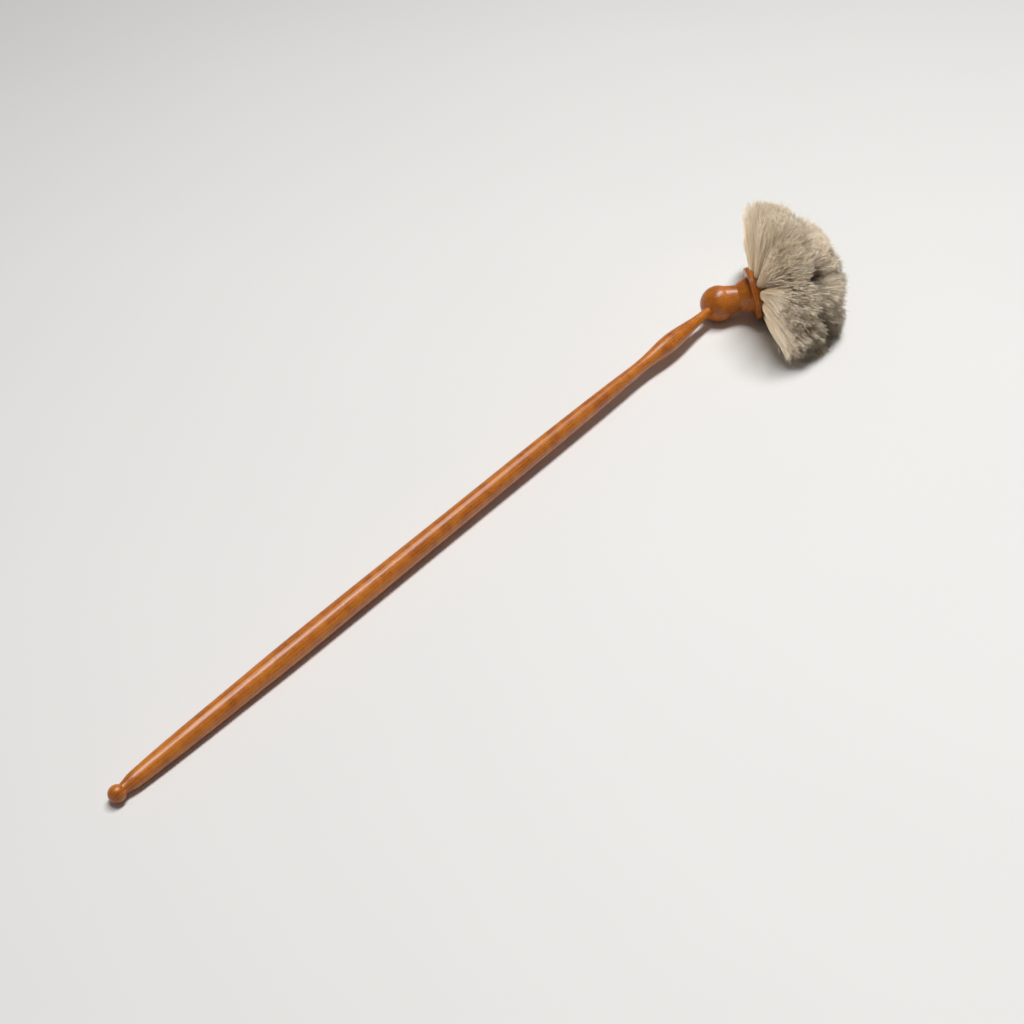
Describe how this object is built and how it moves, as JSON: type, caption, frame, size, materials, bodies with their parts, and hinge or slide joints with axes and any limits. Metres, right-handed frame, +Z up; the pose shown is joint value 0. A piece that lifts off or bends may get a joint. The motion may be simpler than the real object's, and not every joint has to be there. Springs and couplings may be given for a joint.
{
  "type": "bee brush",
  "caption": "Long turned wooden handle with a ball finial, carrying an angled turned head with a full dome of soft hair bundles for brushing bees off comb.",
  "frame": {"origin": "middle of the whole brush's bounding box, on the ground plane it lies on", "axes": "+X along the handle from its finial to the head, seen from above; +Z up; the brush lies on its side"},
  "size_m": [0.836, 0.14, 0.1157],
  "materials": {
    "stained_beech": "satin lacquer over an orange-brown stain",
    "goat_hair": "soft, dull, undyed",
    "drawing_wire": "drawn"
  },
  "bodies": {
    "handle": {"handle": "stained_beech"},
    "brush_head": {"head_body": "stained_beech", "brush_block": "stained_beech", "draw_wire": "drawing_wire", "hair_tuft_01": "goat_hair", "hair_tuft_02": "goat_hair", "hair_tuft_03": "goat_hair", "hair_tuft_04": "goat_hair", "hair_tuft_05": "goat_hair", "hair_tuft_06": "goat_hair", "hair_tuft_07": "goat_hair", "hair_tuft_08": "goat_hair", "hair_tuft_09": "goat_hair", "hair_tuft_10": "goat_hair", "hair_tuft_11": "goat_hair", "hair_tuft_12": "goat_hair", "hair_tuft_13": "goat_hair", "hair_tuft_14": "goat_hair", "hair_tuft_15": "goat_hair", "hair_tuft_16": "goat_hair", "hair_tuft_17": "goat_hair", "hair_tuft_18": "goat_hair", "hair_tuft_19": "goat_hair"}
  },
  "joints": [
    {"name": "handle_pull", "type": "slide", "parent": "handle", "child": "brush_head", "axis": [0.9999, 0, 0.014], "range_m": [0, 0.04]}
  ]
}
